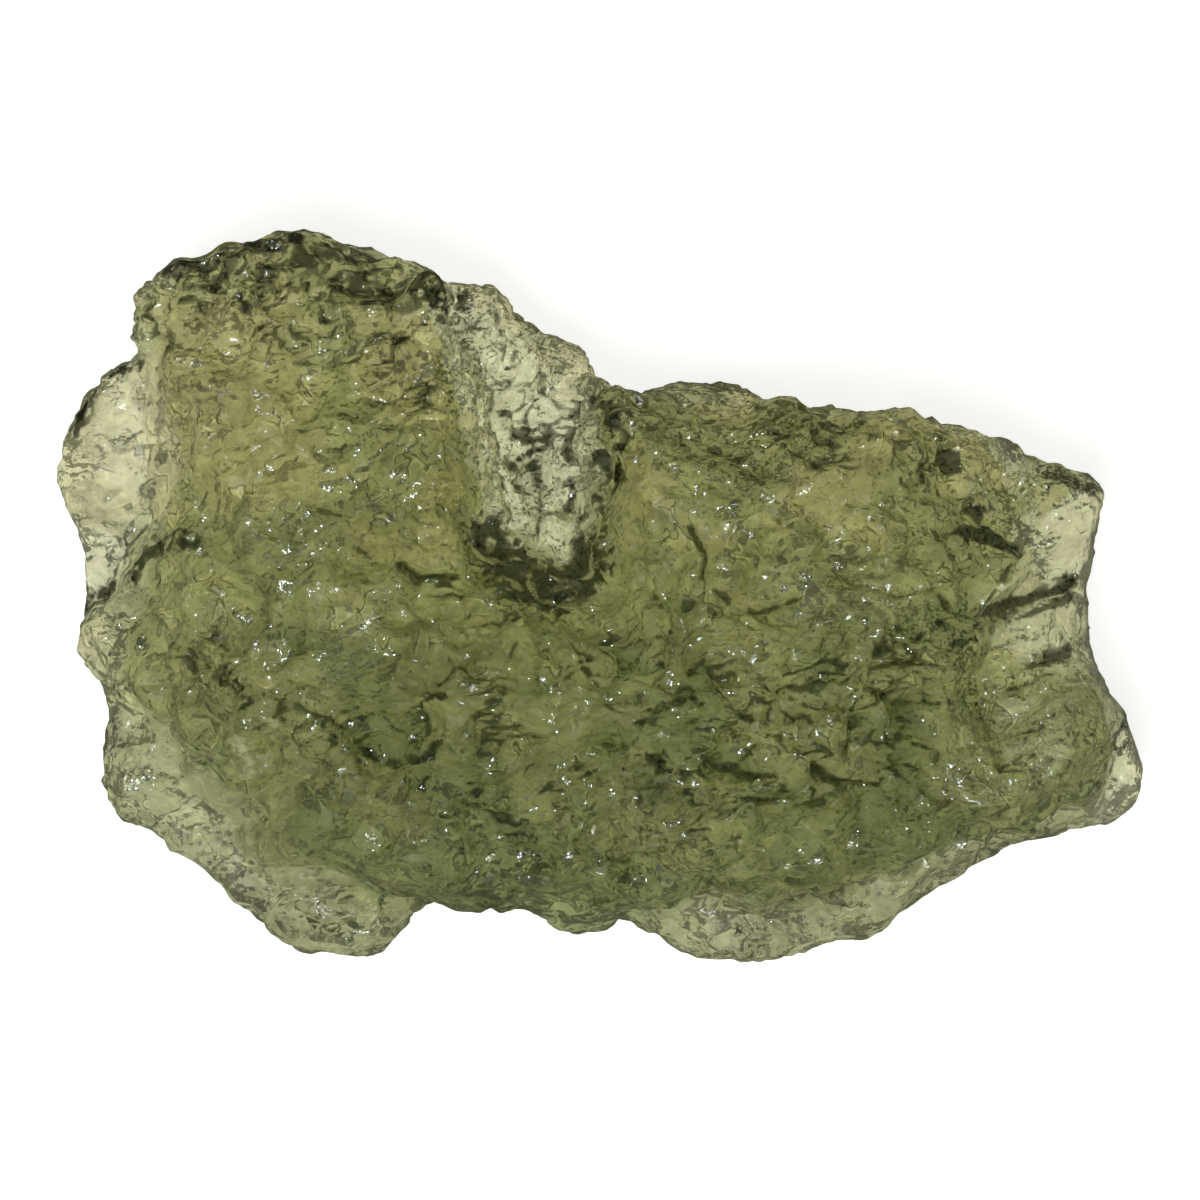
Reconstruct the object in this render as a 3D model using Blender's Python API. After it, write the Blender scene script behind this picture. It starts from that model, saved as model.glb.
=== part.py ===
"""A moldavite: one natural chip of green glass, lying on a small flat spot of its underside.

The chip is drawn as it lies: +X is its right, +Y its top edge, +Z up. Its outline and the marks on its
upper side are read by eye from a picture of it, in picture units, and heights are in millimetres.
"""
import math

import bmesh
import bpy
import numpy as np
from mathutils import Vector, noise

MM = 0.001

# Sizes in millimetres
LENGTH = 30.0
FIRST_VOXEL = 0.30
SECOND_VOXEL = 0.23
TRIANGLES = 9300
REST_CATCH = 0.03

# Where the chip lies in the picture
PICTURE_LEFT = 58
PICTURE_RIGHT = 1146
PICTURE_MIDDLE_X = 602.0
PICTURE_MIDDLE_Y = 595.5
PICTURE_PER_MM = (PICTURE_RIGHT - PICTURE_LEFT) / LENGTH

# The outline, clockwise, in picture units
UPPER_LEFT_SHOULDER = [(135, 345), (131, 318), (142, 279), (157, 268), (181, 259), (206, 258), (224, 248)]
UPPER_LEFT_CREST = [(243, 239), (302, 234), (346, 248), (372, 249), (402, 261), (440, 271), (454, 280)]
NOTCH_RIM = [(497, 286), (514, 312), (546, 333), (583, 347), (588, 365), (623, 395), (637, 399)]
UPPER_RIGHT_EDGE = [(652, 390), (670, 387), (705, 387), (724, 395), (800, 407), (838, 407), (873, 411)]
UPPER_RIGHT_CHIPS = [(891, 408), (914, 411), (928, 422), (957, 424), (981, 436), (1000, 437), (1012, 447)]
UPPER_RIGHT_TIP = [(1031, 457), (1052, 457), (1075, 468), (1092, 473), (1101, 483), (1102, 500)]
RIGHT_HOLLOW_EDGE = [(1092, 560), (1088, 592), (1091, 628), (1104, 682)]
RIGHT_LOBE = [(1120, 702), (1133, 725), (1145, 780), (1141, 799), (1117, 820), (1101, 823)]
LOWER_RIGHT_EDGE = [(1078, 825), (1042, 836), (1001, 852), (920, 896), (883, 925), (863, 934)]
BOTTOM_RIGHT_FLANGE = [(840, 938), (826, 944), (750, 956), (683, 951), (668, 943), (634, 923), (620, 920)]
BOTTOM_EDGE = [(597, 928), (577, 925), (533, 905), (497, 900), (467, 903), (440, 897), (416, 898)]
BOTTOM_TAB = [(407, 906), (404, 925), (383, 950), (345, 956), (282, 939), (266, 925), (254, 909)]
LOWER_LEFT_FLANGE = [(222, 889), (181, 849), (168, 840), (159, 828), (141, 823), (121, 814), (109, 800)]
LEFT_NICK = [(104, 745), (106, 731), (113, 722), (110, 700)]
LEFT_POINT = [(86, 664), (76, 647), (83, 608)]
LEFT_FLANGE = [(84, 580), (80, 525), (67, 503), (60, 457), (66, 440), (80, 400), (106, 371), (134, 357)]
OUTLINE = (
    UPPER_LEFT_SHOULDER + UPPER_LEFT_CREST + NOTCH_RIM + UPPER_RIGHT_EDGE + UPPER_RIGHT_CHIPS
    + UPPER_RIGHT_TIP + RIGHT_HOLLOW_EDGE + RIGHT_LOBE + LOWER_RIGHT_EDGE + BOTTOM_RIGHT_FLANGE
    + BOTTOM_EDGE + BOTTOM_TAB + LOWER_LEFT_FLANGE + LEFT_NICK + LEFT_POINT + LEFT_FLANGE
)

# The thick middle's edge, where the thin flanges begin, clockwise from the upper left
THICK_ABOVE = [(200, 210), (420, 220), (640, 340), (900, 380), (1160, 440)]
THICK_RIGHT = [(1150, 640), (1108, 680), (1111, 725), (1108, 765), (1092, 806)]
THICK_LOWER_RIGHT = [(1068, 802), (1032, 812), (1015, 830), (972, 845), (940, 858), (905, 873), (868, 882)]
THICK_BOTTOM_RIGHT = [(838, 898), (800, 903), (693, 902), (655, 908), (622, 921), (600, 960)]
THICK_BOTTOM_LEFT = [(420, 940), (416, 898), (400, 889), (330, 887), (290, 873), (262, 862), (248, 832)]
THICK_LOWER_LEFT = [(222, 808), (206, 798), (204, 770), (200, 748), (172, 727), (150, 712), (126, 697)]
THICK_POINT = [(112, 690), (60, 668), (60, 636), (84, 622), (105, 603)]
THICK_LEFT = [(126, 590), (136, 568), (147, 548), (150, 538), (166, 525), (172, 500), (169, 470)]
THICK_UPPER_LEFT = [(160, 445), (150, 415), (143, 385), (137, 352), (100, 330), (110, 250)]
THICK_MIDDLE = (
    THICK_ABOVE + THICK_RIGHT + THICK_LOWER_RIGHT + THICK_BOTTOM_RIGHT + THICK_BOTTOM_LEFT
    + THICK_LOWER_LEFT + THICK_POINT + THICK_LEFT + THICK_UPPER_LEFT
)

# Heights of the thick middle's upper side: picture x, picture y, height in mm
UPPER_SIDE = {
    "upper left shoulder": (185, 320, 5.9),
    "upper left crest": (300, 280, 6.4),
    "crest before the notch": (420, 320, 6.7),
    "upper dome": (300, 400, 7.0),
    "brow of the notch": (430, 430, 7.1),
    "left shoulder": (190, 450, 6.4),
    "left belly": (200, 600, 7.0),
    "left swell": (320, 600, 7.7),
    "left point": (100, 645, 4.4),
    "lower left swell": (250, 780, 6.8),
    "lower swell": (400, 790, 8.2),
    "bottom left brow": (330, 860, 6.6),
    "bottom middle": (560, 880, 6.6),
    "middle": (560, 700, 8.3),
    "right of the notch": (700, 600, 7.8),
    "upper right shoulder": (720, 440, 7.0),
    "right swell": (850, 540, 7.3),
    "upper right corner": (920, 460, 6.6),
    "upper right end": (1020, 480, 5.3),
    "upper right tip": (1085, 485, 4.3),
    "right middle": (930, 660, 7.3),
    "lower right": (900, 790, 7.3),
    "lower right end": (1030, 780, 6.7),
    "right rim": (1090, 770, 5.7),
    "lower middle": (750, 800, 8.0),
    "bottom right brow": (700, 880, 6.6),
}

# Heights of the flanges' upper side
FLANGE_SIDE = {
    "left flange, upper end": (105, 385, 3.3),
    "left flange, middle": (130, 440, 3.5),
    "left flange, foot": (150, 500, 3.1),
    "left flange, thin end": (105, 570, 2.5),
    "left nick": (120, 720, 3.0),
    "lower left flange": (150, 770, 3.6),
    "lower left flange, end": (220, 850, 3.3),
    "bottom band": (290, 900, 3.7),
    "bottom tab": (345, 925, 3.9),
    "bottom right flange, start": (650, 925, 3.8),
    "bottom right flange": (740, 930, 4.0),
    "bottom right flange, end": (940, 868, 4.2),
    "lower right lip": (1050, 820, 4.2),
    "right lobe": (1128, 765, 3.7),
    "right lobe, upper end": (1118, 705, 3.5),
}

# Heights of the underside, which rests where this falls below nothing
UNDERSIDE = {
    "rest": (555, 665, -0.30),
    "rest, left end": (430, 655, -0.04),
    "rest, right end": (680, 655, -0.04),
    "left of the rest": (300, 620, 0.55),
    "right of the rest": (830, 650, 0.45),
    "under the dome": (300, 400, 1.5),
    "under the upper shoulder": (185, 320, 2.3),
    "under the brow": (430, 420, 1.3),
    "under the notch": (550, 420, 1.2),
    "under the left belly": (200, 600, 1.1),
    "under the left point": (100, 645, 1.8),
    "under the lower swell": (400, 800, 0.55),
    "under the bottom brow": (330, 870, 1.0),
    "under the bottom middle": (560, 880, 1.0),
    "under the upper right shoulder": (720, 440, 0.9),
    "under the right swell": (850, 530, 0.95),
    "under the upper right end": (1020, 480, 1.9),
    "under the right hollow": (1040, 620, 1.3),
    "under the lower right": (900, 810, 0.55),
    "under the right rim": (1090, 770, 1.7),
    "under the left flange": (130, 430, 1.6),
    "under the thin end": (105, 570, 1.5),
    "under the lower left flange": (150, 770, 1.3),
    "under the bottom tab": (345, 930, 1.1),
    "under the bottom right flange": (740, 930, 1.1),
    "under the lower right lip": (1050, 825, 1.7),
    "under the right lobe": (1128, 765, 2.1),
}

# The V-shaped hollow in the top edge: a floor between three walls
NOTCH_FLOOR = {
    "by the left wall": (480, 340, 4.2),
    "at the rim": (540, 345, 3.8),
    "by the right wall": (572, 420, 3.4),
    "left foot": (490, 500, 4.2),
    "right foot": (568, 520, 3.5),
    "lower end": (555, 560, 3.7),
}
# Each wall: two points of its foot, with the hollow at the left hand, height at the foot, rise per mm
NOTCH_LEFT_WALL = ((459, 270), (480, 525), 4.2, 3.4)
NOTCH_END_WALL = ((478, 524), (578, 568), 3.7, 2.4)
NOTCH_RIGHT_WALL = ((584, 566), (582, 380), 3.4, 2.2)
NOTCH_PANE = [(456, 270), (462, 400), (474, 521), (505, 548), (560, 578), (588, 560), (586, 400), (600, 330)]

# The hollow facet at the right end
RIGHT_HOLLOW = [
    (1020, 546), (1034, 532), (1046, 506), (1160, 492), (1160, 640), (1112, 690), (1085, 700), (1045, 716),
    (1016, 738), (985, 752), (968, 738), (958, 690), (962, 655), (975, 625), (990, 600), (1012, 575),
]
RIGHT_HOLLOW_FLOOR = {
    "left edge": (970, 680, 4.9),
    "lower left": (1000, 735, 5.0),
    "middle": (1030, 640, 4.5),
    "upper end": (1060, 520, 4.6),
    "right edge": (1085, 600, 3.7),
    "lower end": (1085, 680, 4.4),
}
# Flow ledges across it: distance up the facet from its middle in mm, and height added there
LEDGE_TILT = math.radians(22)
LEDGE_MIDDLE = (1045, 640)
LEDGE_PLACES = [-2.6, -2.05, -1.9, -1.35, -1.15, -0.6, -0.36, 0.6, 0.95, 1.15, 1.45, 1.9, 2.1, 2.6, 2.8, 4.0]
LEDGE_RISES = [0.0, 0.16, -0.14, 0.12, -0.16, 0.16, -0.2, 0.05, -0.1, 0.3, -0.28, 0.05, -0.1, 0.1, -0.05, 0.0]

# Scoops in the upper side: picture x, picture y, radius in mm, depth in mm
SCOOPS = {
    "crescent pit": (397, 712, 1.35, 0.75),
    "left cup": (233, 606, 1.15, 0.55),
    "small left crescent": (203, 642, 0.7, 0.35),
    "ring by the notch": (668, 560, 1.1, 0.55),
    "cup beside it": (760, 560, 1.15, 0.45),
    "round cup, right": (968, 566, 1.25, 0.7),
    "chip above it": (945, 500, 0.95, 0.7),
    "lens chip": (985, 525, 0.95, 0.8),
    "pale chip": (1008, 458, 1.1, 0.9),
    "green chip": (1028, 520, 0.9, 0.75),
    "dark square": (947, 462, 0.6, 0.5),
    "dome arc": (314, 346, 1.1, 0.5),
    "crest cup": (210, 330, 1.2, 0.5),
    "brow cup": (385, 330, 0.95, 0.4),
    "fold, left": (425, 582, 0.8, 0.4),
    "fold, upper left": (318, 508, 0.8, 0.35),
    "fold, lower left": (315, 712, 0.9, 0.35),
    "small pit, left": (235, 515, 0.55, 0.4),
    "fold, lower middle": (735, 765, 0.95, 0.35),
    "fold, lower right": (842, 775, 0.95, 0.4),
    "fold, right": (750, 605, 0.9, 0.35),
    "fold, far right": (918, 700, 0.9, 0.35),
    "low swell's pit": (300, 800, 0.8, 0.4),
    "bottom pit": (520, 840, 0.9, 0.35),
    "flute": (845, 535, 0.8, 0.35),
    "fold in the middle": (590, 735, 0.9, 0.35),
}

# Hollows broken out of the walls and the underside: picture x, picture y, height, radius, depth in mm
SIDE_HOLLOWS = {
    "upper left wall, high": (150, 285, 5.4, 2.0, 0.7),
    "upper left wall, low": (230, 262, 1.6, 2.3, 0.7),
    "crest wall, high": (350, 262, 6.2, 1.8, 0.6),
    "crest wall, low": (430, 300, 1.4, 2.0, 0.6),
    "upper right wall, high": (690, 400, 5.8, 2.1, 0.6),
    "upper right wall, low": (790, 420, 1.2, 2.4, 0.7),
    "upper right wall, end": (930, 445, 5.4, 1.7, 0.6),
    "tip, low": (1060, 500, 1.9, 1.9, 0.5),
    "right wall, low": (1070, 640, 1.5, 2.2, 0.5),
    "lower right wall": (960, 850, 5.2, 2.0, 0.6),
    "bottom wall, right": (760, 895, 5.4, 2.4, 0.7),
    "bottom wall, middle": (560, 905, 4.9, 2.2, 0.7),
    "bottom wall, low": (490, 880, 1.2, 2.0, 0.5),
    "bottom wall, left": (330, 880, 5.2, 1.9, 0.6),
    "left wall, low": (215, 815, 4.9, 1.8, 0.5),
    "left wall, high": (125, 600, 5.6, 1.9, 0.6),
    "left wall, upper": (155, 440, 5.0, 2.0, 0.6),
    "underside, upper left": (250, 400, 1.6, 2.8, 0.5),
    "underside, left": (230, 690, 0.8, 2.4, 0.5),
    "underside, right": (900, 600, 0.8, 2.9, 0.5),
    "underside, lower right": (980, 760, 1.1, 2.2, 0.4),
    "underside, lower left": (380, 820, 0.7, 2.1, 0.4),
}

# How far the edges roll over, in mm
FLANGE_ROLL = 0.75
BODY_ROLL = 1.0
BROW_ROLL = 1.2
BROW_DROP = 0.5
LEDGE_WIDTH = 0.5
EDGE_SHARE = 0.26
PANE_CALM = 0.55

# How far edges and walls stray from their drawn lines
STRAY_SEED = Vector((5.3, 2.9, 7.1))
STRAY_SIZE = 1.9
STRAY_REACH = 0.42

# Relief on every side
LUMP_SEED = Vector((11.3, 4.7, 8.9))
LUMP_SIZE = 3.6
LUMP_HEIGHT = 0.42
CUP_SEED = Vector((3.1, 7.7, 1.9))
CUP_SIZE = 1.8
CUP_DEPTH = 0.44
FINE_CUP_SIZE = 1.05
FINE_CUP_DEPTH = 0.15
FLOW_TURN = math.radians(14)
FLOW_STRETCH = 1.35
PIT_SEED = 41
PIT_COUNT = 210
PIT_RADIUS_LEAST = 0.45
PIT_RADIUS_MOST = 1.05
PIT_DEPTH_SHARE = 0.5

GLASS_GREEN = (0.32, 0.36, 0.14, 1.0)


def to_mm(point):
    """A place in the picture as millimetres from the middle of the outline."""
    x = (point[0] - PICTURE_MIDDLE_X) / PICTURE_PER_MM
    y = (PICTURE_MIDDLE_Y - point[1]) / PICTURE_PER_MM
    return x, y


def smooth_loop(points, pieces):
    """A closed smooth curve through the points, with several pieces to each span."""
    loop = []
    count = len(points)
    for index in range(count):
        before = Vector(points[index - 1])
        start = Vector(points[index])
        end = Vector(points[(index + 1) % count])
        after = Vector(points[(index + 2) % count])
        for piece in range(pieces):
            t = piece / pieces
            bend = (end - before) * t
            bend += (2 * before - 5 * start + 4 * end - after) * t * t
            bend += (3 * start - before - 3 * end + after) * t * t * t
            loop.append(start + bend * 0.5)
    return loop


def inside_distance(places, loop):
    """Distance in mm to a closed loop, positive inside it, for an array of places."""
    starts = np.array([tuple(point) for point in loop])
    ends = np.roll(starts, -1, axis=0)
    nearest = np.full(len(places), 1e9)
    inside = np.zeros(len(places), dtype=bool)
    for start, end in zip(starts, ends):
        along = end - start
        away = places - start
        share = np.clip(away @ along / (along @ along), 0.0, 1.0)
        gap = away - share[:, None] * along
        nearest = np.minimum(nearest, np.hypot(gap[:, 0], gap[:, 1]))
        crosses = (start[1] > places[:, 1]) != (end[1] > places[:, 1])
        rise = along[1] if along[1] else 1e-9
        side = start[0] + (places[:, 1] - start[1]) / rise * along[0]
        inside ^= crosses & (places[:, 0] < side)
    return np.where(inside, nearest, -nearest)


def smooth_surface(named_heights, places):
    """A smooth sheet through named heights, read at an array of places."""
    knots = np.array([to_mm(value) for value in named_heights.values()])
    heights = np.array([value[2] for value in named_heights.values()])
    count = len(knots)

    def bend(first, second):
        gap = np.hypot(first[:, None, 0] - second[None, :, 0], first[:, None, 1] - second[None, :, 1])
        return gap * gap * np.log(gap + 1e-9)

    flat = np.hstack([np.ones((count, 1)), knots])
    system = np.zeros((count + 3, count + 3))
    system[:count, :count] = bend(knots, knots) + np.eye(count) * 0.15
    system[:count, count:] = flat
    system[count:, :count] = flat.T
    weights = np.linalg.solve(system, np.hstack([heights, np.zeros(3)]))
    read = bend(places, knots) @ weights[:count]
    return read + weights[count] + places @ weights[count + 1:]


def ease(value):
    """Nothing below 0, all above 1, and smooth between."""
    share = np.clip(value, 0.0, 1.0)
    return share * share * (3 - 2 * share)


def roll(depth, radius):
    """How full a rounded edge is at a depth in from the outline."""
    share = np.clip(1 - depth / radius, 0.0, 1.0)
    return EDGE_SHARE + (1 - EDGE_SHARE) * np.sqrt(1 - share * share)


def wall(places, line):
    """A flat wall that climbs to the right of its foot line."""
    start = np.array(to_mm(line[0]))
    end = np.array(to_mm(line[1]))
    along = (end - start) / np.linalg.norm(end - start)
    away = places - start
    aside = away[:, 0] * along[1] - away[:, 1] * along[0]
    return line[2] + aside * line[3]


def soft_least(first, second, blend):
    """The lesser of two heights, with the crease rounded over a blend."""
    share = np.clip(0.5 + 0.5 * (second - first) / blend, 0.0, 1.0)
    return second + (first - second) * share - blend * share * (1 - share)


def strayed(places):
    """The places, each moved a little, so that drawn lines come out ragged."""
    moved = places.copy()
    for index, (x, y) in enumerate(places):
        stray = noise.noise_vector(Vector((x, y, 0.0)) / STRAY_SIZE + STRAY_SEED)
        moved[index, 0] += stray.x * STRAY_REACH
        moved[index, 1] += stray.y * STRAY_REACH
    return moved


def notch_height(places):
    floor = smooth_surface(NOTCH_FLOOR, places)
    left = wall(places, NOTCH_LEFT_WALL)
    low = wall(places, NOTCH_END_WALL)
    right = wall(places, NOTCH_RIGHT_WALL)
    return np.maximum(np.maximum(floor, left), np.maximum(low, right))


def right_hollow_height(places):
    middle = np.array(to_mm(LEDGE_MIDDLE))
    up = np.array((-math.sin(LEDGE_TILT), math.cos(LEDGE_TILT)))
    climb = (places - middle) @ up
    return smooth_surface(RIGHT_HOLLOW_FLOOR, places) + np.interp(climb, LEDGE_PLACES, LEDGE_RISES)


def scooped(heights, places):
    """Each scoop is a round bowl cut from above."""
    lowered = heights.copy()
    for scoop in SCOOPS.values():
        middle = np.array(to_mm(scoop))
        gap = np.hypot(places[:, 0] - middle[0], places[:, 1] - middle[1]) / scoop[2]
        lowered -= scoop[3] * np.clip(1 - gap * gap, 0.0, 1.0) ** 0.8
    return lowered


def sides(true_places):
    """Over an array of places: the upper side's height, the underside's, and the unrounded thickness."""
    places = strayed(true_places)
    outline = smooth_loop([to_mm(point) for point in OUTLINE], 4)
    thick = smooth_loop([to_mm(point) for point in THICK_MIDDLE], 3)
    hollow = smooth_loop([to_mm(point) for point in RIGHT_HOLLOW], 3)
    edge_depth = np.clip(inside_distance(true_places, outline), 0.0, None)
    thick_depth = inside_distance(places, thick)
    hollow_depth = inside_distance(places, hollow)

    middle = smooth_surface(UPPER_SIDE, places)
    brow = np.clip(1 - thick_depth / BROW_ROLL, 0.0, 1.0)
    middle -= BROW_DROP * brow * brow
    middle = soft_least(middle, notch_height(places), 0.25)
    middle = scooped(middle, places)
    hollow_share = ease(hollow_depth / LEDGE_WIDTH + 0.2)
    middle += (right_hollow_height(places) - middle) * hollow_share

    flange = smooth_surface(FLANGE_SIDE, places)
    thick_share = ease(thick_depth / LEDGE_WIDTH + 0.3)
    upper = flange + (middle - flange) * thick_share
    under = smooth_surface(UNDERSIDE, places)
    upper = np.maximum(upper, under + 0.7)

    waist = under + (upper - under) * 0.42
    reach = FLANGE_ROLL + (BODY_ROLL - FLANGE_ROLL) * ease((upper - under - 1.5) / 3.5)
    full = roll(edge_depth, reach)
    return waist + (upper - waist) * full, waist - (waist - under) * full, upper - under


def take_mesh(stone):
    """The stone's mesh with its modifiers made real."""
    shaped = stone.evaluated_get(bpy.context.evaluated_depsgraph_get())
    mesh = bpy.data.meshes.new_from_object(shaped)
    stone.modifiers.clear()
    stone.data = mesh


def remesh(stone, voxel):
    modifier = stone.modifiers.new("even faces", "REMESH")
    modifier.mode = "VOXEL"
    modifier.voxel_size = voxel
    modifier.adaptivity = 0.0
    take_mesh(stone)


def read_places(mesh):
    places = np.zeros(len(mesh.vertices) * 3)
    mesh.vertices.foreach_get("co", places)
    return places.reshape(-1, 3)


def read_normals(mesh):
    normals = np.zeros(len(mesh.vertices) * 3)
    mesh.vertices.foreach_get("normal", normals)
    return normals.reshape(-1, 3)


def put_places(mesh, places):
    mesh.vertices.foreach_set("co", places.ravel())
    mesh.update()


def slab():
    """The outline as a slab two millimetres thick, from -1 to 1."""
    shape = bmesh.new()
    ring = [shape.verts.new((point.x, point.y, -1.0)) for point in smooth_loop(
        [to_mm(point) for point in OUTLINE], 4)]
    face = shape.faces.new(ring)
    grown = bmesh.ops.extrude_face_region(shape, geom=[face])
    for item in grown["geom"]:
        if isinstance(item, bmesh.types.BMVert):
            item.co.z = 1.0
    bmesh.ops.recalc_face_normals(shape, faces=shape.faces)
    mesh = bpy.data.meshes.new("moldavite")
    shape.to_mesh(mesh)
    shape.free()
    return mesh


def shape_sides(stone):
    places = read_places(stone.data)
    upper, under, _thickness = sides(places[:, :2])
    share = np.clip(places[:, 2] * 0.5 + 0.5, 0.0, 1.0)
    places[:, 2] = under + (upper - under) * share
    put_places(stone.data, places)


def along_flow(places):
    """The places, turned to the flow lines and drawn together along them."""
    turned = places.copy()
    turned[:, 0] = places[:, 0] * math.cos(FLOW_TURN) + places[:, 1] * math.sin(FLOW_TURN)
    turned[:, 1] = places[:, 1] * math.cos(FLOW_TURN) - places[:, 0] * math.sin(FLOW_TURN)
    turned[:, 0] /= FLOW_STRETCH
    return turned


def cup_depths(places, size, seed):
    """How deep the cells' bowls are at each place, 1 at a bowl's middle and 0 on the ridges."""
    depths = np.zeros(len(places))
    for index, place in enumerate(along_flow(places)):
        gaps, centres = noise.voronoi(Vector(place) / size + seed)
        ridge = (gaps[1] - gaps[0]) / max(gaps[1] + gaps[0], 1e-6)
        depths[index] = min(ridge * 1.6, 1.0)
    return depths


def lump_heights(places):
    heights = np.zeros(len(places))
    for index, place in enumerate(places):
        heights[index] = noise.fractal(Vector(place) / LUMP_SIZE + LUMP_SEED, 1.0, 2.1, 3)
    return heights


def pit_depths(places, normals):
    """Round pits in random places of every side."""
    chance = np.random.RandomState(PIT_SEED)
    depths = np.zeros(len(places))
    for index in chance.choice(len(places), PIT_COUNT, replace=False):
        radius = PIT_RADIUS_LEAST + (PIT_RADIUS_MOST - PIT_RADIUS_LEAST) * chance.rand() ** 1.6
        away = places - places[index]
        gap = np.linalg.norm(away, axis=1) / radius
        alike = normals @ normals[index] > 0.2
        bowl = np.where(alike, np.clip(1 - gap * gap, 0.0, 1.0), 0.0)
        depths = np.maximum(depths, radius * PIT_DEPTH_SHARE * bowl)
    return depths


def hollow_depths(places):
    """Broad round hollows at their own places on the walls and the underside."""
    depths = np.zeros(len(places))
    for hollow in SIDE_HOLLOWS.values():
        middle = np.array((*to_mm(hollow), hollow[2]))
        gap = np.linalg.norm(places - middle, axis=1) / hollow[3]
        depths = np.maximum(depths, hollow[4] * np.clip(1 - gap * gap, 0.0, 1.0))
    return depths


def add_relief(stone):
    places = read_places(stone.data)
    normals = read_normals(stone.data)
    outline = smooth_loop([to_mm(point) for point in OUTLINE], 4)
    edge_depth = inside_distance(places[:, :2], outline)
    upper, under, thickness = sides(places[:, :2])
    from_waist = np.abs(places[:, 2] - (upper + under) / 2)
    thin = np.clip(thickness / 4.0, 0.35, 1.0)
    move = LUMP_HEIGHT * lump_heights(places)
    move -= CUP_DEPTH * cup_depths(places, CUP_SIZE, CUP_SEED)
    move -= FINE_CUP_DEPTH * cup_depths(places, FINE_CUP_SIZE, CUP_SEED * 2)
    move -= pit_depths(places, normals)
    pane = smooth_loop([to_mm(point) for point in NOTCH_PANE], 2)
    hollow = smooth_loop([to_mm(point) for point in RIGHT_HOLLOW], 2)
    pane_depth = np.maximum(inside_distance(places[:, :2], pane), inside_distance(places[:, :2], hollow))
    move *= 1 - PANE_CALM * ease(pane_depth / 0.5 + 0.5)
    move -= hollow_depths(places)
    move = (move + CUP_DEPTH * 0.5) * thin
    held = np.maximum(0.4, ease(np.maximum(edge_depth / 1.1, from_waist / 1.2)))
    shift = normals * move[:, None]
    shift[:, :2] *= held[:, None]
    places += shift
    places[:, 2] = np.maximum(places[:, 2], 0.0)
    put_places(stone.data, places)


def thin_out(stone):
    """Fewer triangles, most where the shape turns most."""
    stone.data.calc_loop_triangles()
    modifier = stone.modifiers.new("fewer faces", "DECIMATE")
    modifier.decimate_type = "COLLAPSE"
    modifier.ratio = TRIANGLES / len(stone.data.loop_triangles)
    modifier.use_collapse_triangulate = True
    take_mesh(stone)


def settle(stone):
    """True length, the resting spot exactly flat at nothing, and the middle over the origin."""
    places = read_places(stone.data)
    places[places[:, 2] < REST_CATCH, 2] = 0.0
    low = places.min(axis=0)
    high = places.max(axis=0)
    places[:, 0] -= (low[0] + high[0]) / 2
    places[:, 1] -= (low[1] + high[1]) / 2
    places *= LENGTH / (high[0] - low[0])
    put_places(stone.data, places * MM)


def glass():
    material = bpy.data.materials.new("green glass")
    material.use_nodes = True
    shader = material.node_tree.nodes["Principled BSDF"]
    shader.inputs["Base Color"].default_value = GLASS_GREEN
    shader.inputs["Roughness"].default_value = 0.25
    shader.inputs["Transmission Weight"].default_value = 1.0
    shader.inputs["IOR"].default_value = 1.49
    return material


def main():
    for thing in list(bpy.data.objects):
        bpy.data.objects.remove(thing, do_unlink=True)
    stone = bpy.data.objects.new("moldavite", slab())
    bpy.context.scene.collection.objects.link(stone)
    remesh(stone, FIRST_VOXEL)
    shape_sides(stone)
    remesh(stone, SECOND_VOXEL)
    add_relief(stone)
    thin_out(stone)
    settle(stone)
    stone.data.name = "moldavite"
    stone.data.materials.clear()
    stone.data.materials.append(glass())


main()
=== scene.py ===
import math

import bpy
import numpy as np
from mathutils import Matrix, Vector
from mathutils.bvhtree import BVHTree
from mathutils.kdtree import KDTree


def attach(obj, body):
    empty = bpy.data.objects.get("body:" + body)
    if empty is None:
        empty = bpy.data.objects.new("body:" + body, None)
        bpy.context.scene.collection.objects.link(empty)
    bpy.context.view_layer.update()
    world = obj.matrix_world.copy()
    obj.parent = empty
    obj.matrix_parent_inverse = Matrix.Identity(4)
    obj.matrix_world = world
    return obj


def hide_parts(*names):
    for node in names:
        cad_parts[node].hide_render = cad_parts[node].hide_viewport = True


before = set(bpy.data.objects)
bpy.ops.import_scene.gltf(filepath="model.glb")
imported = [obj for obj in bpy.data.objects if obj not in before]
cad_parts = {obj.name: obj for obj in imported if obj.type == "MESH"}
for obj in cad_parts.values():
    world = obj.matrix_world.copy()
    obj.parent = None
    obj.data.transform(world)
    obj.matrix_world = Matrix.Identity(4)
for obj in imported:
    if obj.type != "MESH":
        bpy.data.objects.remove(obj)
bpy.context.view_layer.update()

MM = 0.001

# Where the chip lies in the picture, which is 1200 by 1200
PICTURE_MIDDLE_X = 602.0
PICTURE_MIDDLE_Y = 595.5
PICTURE_PER_MM = 36.25
PICTURE_SIDE = 1200.0

# The chip's mesh, in millimetres
VOXEL = 0.078
MOST_TRIANGLES = 194000
KEPT_BOXES = (((948, 430), (1150, 830)), ((420, 290), (610, 600)), ((56, 350), (215, 640)))
UPPER_CARE = 0.0006
FLOW_TURN = math.radians(14)

# Pits, in the order they are pressed in: cell size along the flow, across it, depth, share of cells, seed
BROAD_PITS = (2.3, 1.6, 0.26, 0.8, 11)
MIDDLE_PITS = (1.25, 0.8, 0.17, 0.7, 23)
SMALL_PITS = (0.72, 0.45, 0.10, 0.65, 37)
FINE_PITS = (0.42, 0.28, 0.055, 0.6, 41)
PIT_LEAN = 0.7

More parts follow.
